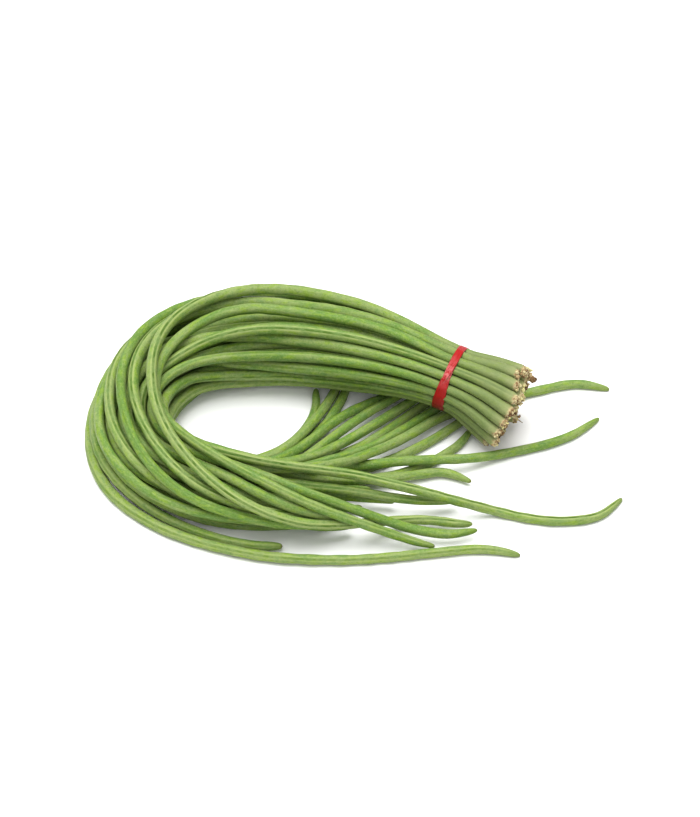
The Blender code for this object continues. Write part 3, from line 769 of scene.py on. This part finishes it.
def cross(a, b, c):
    return (b[0] - a[0]) * (c[1] - a[1]) - (b[1] - a[1]) * (c[0] - a[0])


def fold_share(angle, width):
    """How near an angle round the band is to its fold, from 0 to 1."""
    return math.exp(-(math.remainder(angle - FOLD_TURN, 2.0 * math.pi) / width) ** 2)


def main_strand(angle):
    """Half width, place across, lift and wrinkles of the wide turn at an angle round the bundle."""
    high = 0.5 + 0.5 * math.sin(angle)
    half = BAND_HALF_LOW + (BAND_HALF_HIGH - BAND_HALF_LOW) * high ** BAND_TAPER
    half *= 1.0 - FOLD_PINCH * fold_share(angle, PINCH_WIDTH)
    wrinkle = WRINKLE * (CALM_WRINKLE + FOLD_WRINKLE * fold_share(angle, WRINKLE_WIDTH))
    return half, BAND_SLANT * math.sin(angle), 0.0, wrinkle


def over_strand(angle):
    """The same for the narrow turn that crosses over the wide one at the fold."""
    aside = math.remainder(angle - FOLD_TURN, 2.0 * math.pi)
    half = OVER_HALF + OVER_SPREAD * fold_share(angle, SPREAD_WIDTH)
    place = OVER_PLACE * math.tanh(aside / CROSS_WIDTH) * math.cos(0.5 * aside) + BAND_SLANT * math.sin(angle)
    lift = OVER_LIFT * fold_share(angle, LIFT_WIDTH) - OVER_SUNK
    return half, place, lift, OVER_WRINKLE * WRINKLE


def strand_rings(line, outs, strand, seed):
    """Cross-sections of one flat turn, each a closed ring of places across, along the way out and round."""
    rings = []
    for (near, up), (near_out, up_out) in zip(line, outs):
        angle = math.atan2(up, near)
        half, place, lift, wrinkle = strand(angle)
        ring = []
        for index in range(2 * BAND_ACROSS):
            share = 1.0 - abs(1.0 - index / BAND_ACROSS)
            across = 2.0 * share - 1.0
            uneven = noise.noise(Vector((3.0 * math.cos(angle), 3.0 * math.sin(angle), seed + across)))
            crease = math.sin(CREASES * across + CREASE_SWAY * math.sin(angle + 0.6) + CREASE_UNEVEN * uneven)
            height = lift + BAND_THICKNESS * (1.0 - across ** 6) + wrinkle * crease * (1.0 - across ** 4)
            if index > BAND_ACROSS:
                height -= BAND_BACK * BAND_THICKNESS * (1.0 - across ** 6)
            wide = half * (across + BAND_UNEVEN * uneven)
            ring.append((near + near_out * height, up + up_out * height, place + wide))
        rings.append(ring)
    return rings


def band_piece(dressed):
    """A stretched band wound round the bundle: a wide wrinkled turn and a narrow one over it."""
    middle, near, up, found = tie_section(dressed)
    line, outs = hull_line(found)
    points = []
    faces = []
    for strand, seed in ((main_strand, 3.0), (over_strand, 11.0)):
        first = len(points)
        rings = strand_rings(line, outs, strand, seed)
        points += [middle + near * x + up * y + TIE_AXIS * z for ring in rings for x, y, z in ring]
        count = 2 * BAND_ACROSS
        for step in range(BAND_STEPS):
            after = (step + 1) % BAND_STEPS
            faces += strip(first + step * count, first + after * count, count)
    piece = smooth_piece("wound_band", points, faces)
    angles = [math.atan2(y, x) for x, y in line for _ in range(2 * BAND_ACROSS)]
    # How high round the band each point is, for the painted shade on its lower part, and how near the fold it
    # is, for the painted highlight there
    mark = np.array([(0.5 + 0.5 * math.sin(angle), fold_share(angle, PINCH_WIDTH), 0.0)
                     for angle in angles * 2])
    layer = piece.data.attributes.new("mark", "FLOAT_VECTOR", "POINT")
    layer.data.foreach_set("vector", mark.ravel().astype(np.float32))
    shell = bmesh.new()
    shell.from_mesh(piece.data)
    bmesh.ops.recalc_face_normals(shell, faces=shell.faces)
    shell.to_mesh(piece.data)
    shell.free()
    return piece


def band_material():
    """Smooth stretched red rubber, with painted shade on its lower part and a painted pale pink highlight at
    the fold.
    """
    nodes = Nodes("band_film")
    place = nodes.add("ShaderNodeTexCoord").outputs["Object"]
    patch = nodes.noise(place, 420.0, 3.0)
    high, fold, _ = nodes.add("ShaderNodeSeparateXYZ", {"Vector": nodes.attribute("mark", "Vector")}).outputs
    # Painted shade: the band darkens from its top towards its lower part
    colour = nodes.mix(nodes.ramp(high, 0.04, 0.56), BAND_PAINTED_SHADE, BAND_RED)
    colour = nodes.mix(nodes.times(nodes.ramp(patch, 0.40, 0.62), 0.1), colour, BAND_PATCH)
    # Painted highlight: pale pink in patches at the fold
    colour = nodes.mix(nodes.times(fold, nodes.ramp(patch, 0.38, 0.56)), colour, BAND_PAINTED_HIGHLIGHT)
    nodes.put(nodes.shader.inputs["Base Color"], colour)
    roughness = nodes.maths("MULTIPLY_ADD", nodes.ramp(patch, 0.2, 0.8), 0.14, 0.32)
    nodes.put(nodes.shader.inputs["Roughness"], roughness)
    nodes.shader.inputs["Specular IOR Level"].default_value = 0.20
    nodes.bump(nodes.noise(place, 700.0, 2.0), 0.15, 0.0003)
    return nodes.material


def add_camera():
    """The camera at the photograph's viewing angle."""
    low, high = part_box("tie_band")
    shift = 0.5 * (np.array(low) + np.array(high)) - TIE_PLACE
    target = np.array(((FRAME_MIDDLE[0] - GRID_MIDDLE[0]) * PIXEL,
                       (GRID_MIDDLE[1] - FRAME_MIDDLE[1]) * PIXEL / math.sin(VIEW_ELEVATION), 0.0))
    target[:2] += shift[:2]
    ahead = np.array((0.0, math.cos(VIEW_ELEVATION), -math.sin(VIEW_ELEVATION)))
    data = bpy.data.cameras.new("camera")
    data.sensor_width = SENSOR_WIDTH
    data.lens = data.sensor_width * VIEW_DISTANCE / (FRAME_HEIGHT * PIXEL)
    data.clip_start = NEAREST
    data.clip_end = FARTHEST
    camera = bpy.data.objects.new("camera", data)
    bpy.context.scene.collection.objects.link(camera)
    camera.location = Vector(target - ahead * VIEW_DISTANCE)
    camera.rotation_euler = Vector(ahead).to_track_quat("-Z", "Y").to_euler()
    bpy.context.scene.camera = camera


def add_sun(name, towards, width, power):
    """A broad soft light that is as strong everywhere."""
    data = bpy.data.lights.new(name, "SUN")
    data.energy = power
    data.angle = width
    light = bpy.data.objects.new(name, data)
    bpy.context.scene.collection.objects.link(light)
    light.location = towards
    light.rotation_euler = Vector(towards).to_track_quat("Z", "Y").to_euler()


def add_studio():
    """A plain pale floor, an even pale sky, a broad light from above and a weaker one from the near side."""
    world = bpy.context.scene.world or bpy.data.worlds.new("studio")
    bpy.context.scene.world = world
    world.use_nodes = True
    world.node_tree.nodes["Background"].inputs["Color"].default_value = (1.0, 1.0, 1.0, 1.0)
    world.node_tree.nodes["Background"].inputs["Strength"].default_value = SKY_STRENGTH
    add_sun("key", KEY_TOWARDS, KEY_WIDTH, KEY_POWER)
    add_sun("fill", FILL_TOWARDS, FILL_WIDTH, FILL_POWER)
    corners = [(x * FLOOR_HALF, y * FLOOR_HALF, 0.0) for x, y in ((-1, -1), (1, -1), (1, 1), (-1, 1))]
    mesh = bpy.data.meshes.new("floor")
    mesh.from_pydata(corners, [], [(0, 1, 2, 3)])
    floor = bpy.data.objects.new("floor", mesh)
    bpy.context.scene.collection.objects.link(floor)
    nodes = Nodes("floor_white")
    nodes.shader.inputs["Base Color"].default_value = FLOOR_WHITE
    nodes.shader.inputs["Roughness"].default_value = 0.7
    nodes.shader.inputs["Specular IOR Level"].default_value = 0.15
    mesh.materials.append(nodes.material)
    bpy.context.scene.view_settings.view_transform = "Standard"


def dress(piece, material, slot, *replaced):
    """Give a piece its material and its place in the part."""
    piece.data.materials.append(material)
    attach(piece, "root")
    if replaced:
        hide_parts(*replaced)


def main():
    add_camera()
    add_studio()
    dressed = [Pod(name, number, item) for number, (name, item) in enumerate(pods().items(), start=1)]
    skin = pod_material()
    cork = Cork()
    for pod in dressed:
        dress(pod.skin(), skin, "pod_skin", pod.name)
        cork.cover(pod)
    by_name = {pod.name: pod for pod in dressed}
    cork.knob(by_name[KNOB_POD])
    cork.twig(by_name[TWIG_POD])
    for name in FLAKE_PODS:
        cork.flake(by_name[name])
    dress(cork.piece(), cork_material(), "pod_skin")
    dress(band_piece(dressed), band_material(), "band_film", "tie_band")


main()
